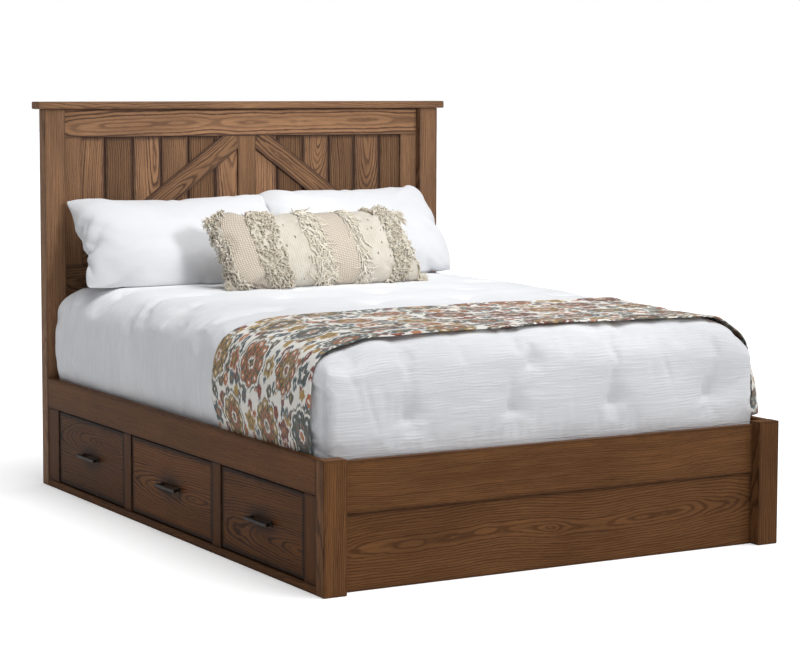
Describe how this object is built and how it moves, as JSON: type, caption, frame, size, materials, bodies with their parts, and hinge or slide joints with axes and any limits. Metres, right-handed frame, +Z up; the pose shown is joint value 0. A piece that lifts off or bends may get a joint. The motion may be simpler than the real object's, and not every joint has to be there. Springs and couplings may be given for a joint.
{
  "type": "platform bed",
  "caption": "Queen platform bed with a plank headboard braced in an inverted V, a low panel footboard, storage drawers along both sides and made-up bedding.",
  "frame": {"origin": "on the floor, under the middle of the whole bed's box", "axes": "+Z up, +Y from the foot towards the headboard, +X to the right as seen from the foot"},
  "size_m": [1.702, 2.202, 1.4],
  "materials": {
    "oak": "satin",
    "birch": "matte",
    "bronze": "satin",
    "ticking": "matte",
    "cotton": "matte",
    "print": "matte",
    "pillowcase": "matte",
    "wool": "matte"
  },
  "bodies": {
    "frame": {"foot_post_left": "oak", "foot_post_right": "oak", "head_post_left": "oak", "head_post_right": "oak", "head_cap": "oak", "head_top_rail": "oak", "head_bottom_rail": "oak", "head_lower_rail": "oak", "head_stile_left": "oak", "head_stile_right": "oak", "head_stile_centre": "oak", "head_planks_left": "oak", "head_planks_right": "oak", "head_brace_left": "oak", "head_brace_right": "oak", "foot_rail": "oak", "foot_panel": "oak", "side_rail_left": "oak", "base_rail_left": "oak", "face_stile_left_1": "oak", "face_stile_left_2": "oak", "face_stile_left_3": "oak", "face_stile_left_4": "oak", "side_rail_right": "oak", "base_rail_right": "oak", "face_stile_right_1": "oak", "face_stile_right_2": "oak", "face_stile_right_3": "oak", "face_stile_right_4": "oak", "drawer_runner_1": "birch", "drawer_runner_2": "birch", "drawer_runner_3": "birch", "platform_deck": "birch", "centre_beam": "birch", "centre_leg_front": "birch", "centre_leg_rear": "birch", "mattress": "ticking", "comforter": "cotton", "throw": "print", "pillow_left": "pillowcase", "pillow_right": "pillowcase", "lumbar_cushion": "wool"},
    "drawer_left_1": {"drawer_left_1_front": "oak", "drawer_left_1_box": "birch", "drawer_left_1_pull": "bronze"},
    "drawer_left_2": {"drawer_left_2_front": "oak", "drawer_left_2_box": "birch", "drawer_left_2_pull": "bronze"},
    "drawer_left_3": {"drawer_left_3_front": "oak", "drawer_left_3_box": "birch", "drawer_left_3_pull": "bronze"},
    "drawer_right_1": {"drawer_right_1_front": "oak", "drawer_right_1_box": "birch", "drawer_right_1_pull": "bronze"},
    "drawer_right_2": {"drawer_right_2_front": "oak", "drawer_right_2_box": "birch", "drawer_right_2_pull": "bronze"},
    "drawer_right_3": {"drawer_right_3_front": "oak", "drawer_right_3_box": "birch", "drawer_right_3_pull": "bronze"}
  },
  "joints": [
    {"name": "drawer_left_1_slide", "type": "slide", "parent": "frame", "child": "drawer_left_1", "axis": [-1, 0, 0], "range_m": [0, 0.4]},
    {"name": "drawer_left_2_slide", "type": "slide", "parent": "frame", "child": "drawer_left_2", "axis": [-1, 0, 0], "range_m": [0, 0.4]},
    {"name": "drawer_left_3_slide", "type": "slide", "parent": "frame", "child": "drawer_left_3", "axis": [-1, 0, 0], "range_m": [0, 0.4]},
    {"name": "drawer_right_1_slide", "type": "slide", "parent": "frame", "child": "drawer_right_1", "axis": [1, 0, 0], "range_m": [0, 0.4]},
    {"name": "drawer_right_2_slide", "type": "slide", "parent": "frame", "child": "drawer_right_2", "axis": [1, 0, 0], "range_m": [0, 0.4]},
    {"name": "drawer_right_3_slide", "type": "slide", "parent": "frame", "child": "drawer_right_3", "axis": [1, 0, 0], "range_m": [0, 0.4]}
  ]
}
